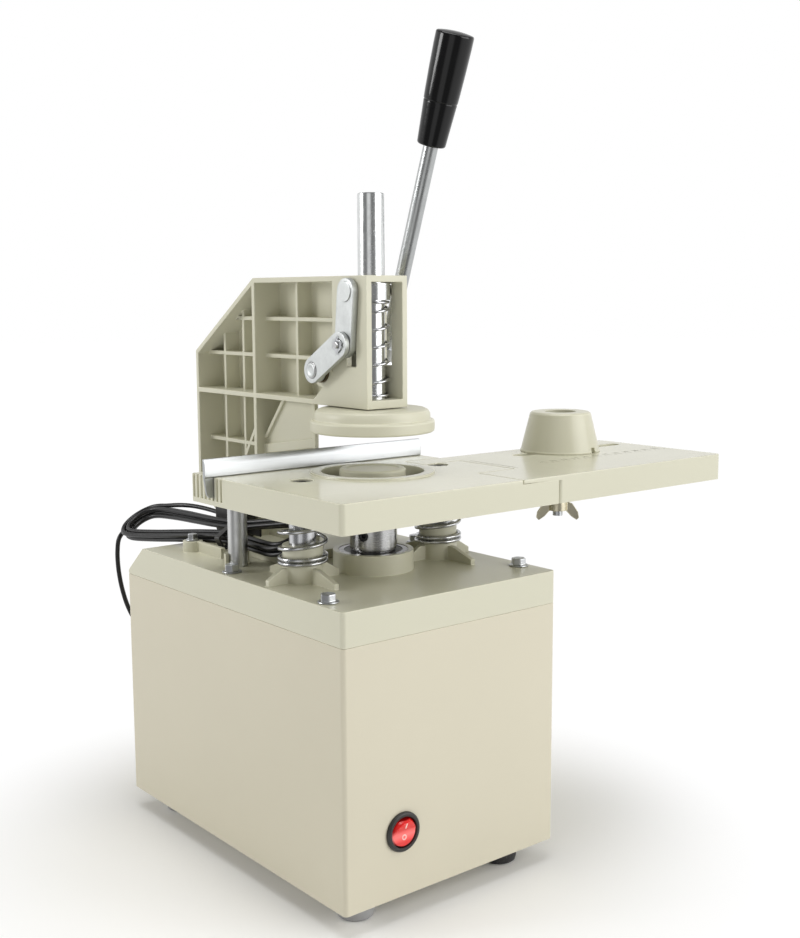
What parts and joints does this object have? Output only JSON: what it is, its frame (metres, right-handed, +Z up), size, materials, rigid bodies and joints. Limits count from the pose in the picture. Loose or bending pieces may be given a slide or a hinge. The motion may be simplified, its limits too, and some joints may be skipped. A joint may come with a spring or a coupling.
{
  "type": "curtain eyelet hole punch",
  "caption": "Bench hole punch for curtain eyelets: motor cabinet, turning ring cutter under a sprung table with extension and locating cone, and a lever press on a ribbed arm.",
  "frame": {"origin": "middle of the plan of the machine without its cord, on the plane of the feet", "axes": "+Z up, -Y the front with the switch, +X towards the table extension"},
  "size_m": [0.321, 0.2989, 0.4998],
  "materials": {
    "cabinet_paint": "fine textured beige paint",
    "beige_plastic": "satin beige enamel on moulded pieces",
    "zinc_steel": "zinc plated",
    "bright_steel": "ground bright steel",
    "spring_steel": "drawn spring wire",
    "dark_steel": "blackened",
    "aluminium": "satin",
    "bronze": "sintered bronze",
    "black_rubber": "matt black",
    "black_plastic": "black moulded",
    "black_gloss": "polished black",
    "red_plastic": "red translucent rocker",
    "white_nylon": "white nylon"
  },
  "bodies": {
    "base": {"cabinet": "cabinet_paint", "bottom_plate": "cabinet_paint", "top_cover": "beige_plastic", "cover_bolts": "zinc_steel", "feet": "black_rubber", "foot_studs": "zinc_steel", "switch_bezel": "black_plastic", "motor_can": "dark_steel", "motor_flange": "zinc_steel", "motor_studs": "zinc_steel", "capacitor": "aluminium", "bearing_outer_ring": "bright_steel", "bearing_seal": "black_rubber", "guide_posts": "zinc_steel", "table_spring_left": "spring_steel", "table_spring_right": "spring_steel", "arm": "beige_plastic", "arm_bolts": "zinc_steel", "shaft_bushes": "bronze", "return_spring": "spring_steel", "cord_gland": "black_rubber", "cord_lead": "black_rubber", "cord_hank": "black_rubber", "cord_plug": "black_rubber", "hank_tie": "black_plastic"},
    "spindle": {"spindle": "bright_steel", "motor_fan": "black_plastic", "bearing_inner_ring": "bright_steel", "bearing_balls": "bright_steel", "cutter_holder": "bright_steel", "holder_set_screw": "dark_steel", "cutter": "dark_steel", "ejector_spring": "spring_steel"},
    "ejector": {"ejector_pad": "beige_plastic"},
    "table": {"table": "beige_plastic", "table_posts": "bright_steel", "post_screws": "zinc_steel", "extension": "beige_plastic", "lap_studs": "zinc_steel"},
    "fence": {"fence": "aluminium"},
    "cone": {"locating_cone": "beige_plastic", "cone_bolt": "zinc_steel", "cone_nut": "zinc_steel"},
    "front_wing_nut": {"wing_nut_front": "zinc_steel"},
    "rear_wing_nut": {"wing_nut_rear": "zinc_steel"},
    "lever": {"lever_shaft": "bright_steel", "crank": "zinc_steel", "crank_pin": "bright_steel", "star_washer": "zinc_steel", "lever_hub": "zinc_steel", "lever_rod": "bright_steel", "lever_grip": "black_gloss"},
    "upper_link": {"upper_link": "zinc_steel"},
    "plunger": {"plunger_rod": "bright_steel", "cross_pin": "bright_steel", "spring_collar": "zinc_steel", "press_disc": "beige_plastic", "cutting_pad": "white_nylon", "pad_screw": "zinc_steel"},
    "rocker": {"switch_rocker": "red_plastic"}
  },
  "joints": [
    {"name": "lever_pull", "type": "hinge", "parent": "base", "child": "lever", "pos_m": [-0.0695, -0.019, 0.304], "axis": [1, 0, 0], "range_deg": [0, 40]},
    {"name": "plunger_press", "type": "slide", "parent": "base", "child": "plunger", "axis": [0, 0, 1], "range_m": [-0.021, 0], "stiffness_N_per_m": 500, "springref_m": 0.05, "deforming": ["return_spring"]},
    {"name": "upper_link_swing", "type": "hinge", "parent": "lever", "child": "upper_link", "pos_m": [-0.0695, -0.04603, 0.31998], "axis": [1, 0, 0], "range_deg": [-48, 0]},
    {"name": "table_press", "type": "slide", "parent": "base", "child": "table", "axis": [0, 0, 1], "range_m": [-0.012, 0], "stiffness_N_per_m": 2000, "springref_m": 0.02, "deforming": ["table_spring_left", "table_spring_right"]},
    {"name": "fence_lift", "type": "slide", "parent": "table", "child": "fence", "axis": [0, 0, 1], "range_m": [0, 0.023]},
    {"name": "cone_shift", "type": "slide", "parent": "table", "child": "cone", "axis": [1, 0, 0], "range_m": [-0.038, 0.053]},
    {"name": "front_wing_turn", "type": "hinge", "parent": "table", "child": "front_wing_nut", "pos_m": [0.0185, -0.1185, 0.222], "axis": [0, 0, 1], "continuous": true},
    {"name": "rear_wing_turn", "type": "hinge", "parent": "table", "child": "rear_wing_nut", "pos_m": [0.0185, -0.042, 0.222], "axis": [0, 0, 1], "continuous": true},
    {"name": "spindle_spin", "type": "hinge", "parent": "base", "child": "spindle", "pos_m": [-0.0695, -0.049, 0.19], "axis": [0, 0, 1], "continuous": true},
    {"name": "ejector_press", "type": "slide", "parent": "spindle", "child": "ejector", "axis": [0, 0, 1], "range_m": [-0.006, 0], "stiffness_N_per_m": 300, "springref_m": 0.005, "deforming": ["ejector_spring"]},
    {"name": "rocker_press", "type": "hinge", "parent": "base", "child": "rocker", "pos_m": [-0.1095, -0.1232, 0.0525], "axis": [-1, 0, 0], "range_deg": [0, 20]}
  ],
  "couplings": [
    {"joint": "plunger_press", "follows": "lever_pull", "m_per_rad": -0.030048},
    {"joint": "upper_link_swing", "follows": "lever_pull", "ratio": -1.19}
  ]
}
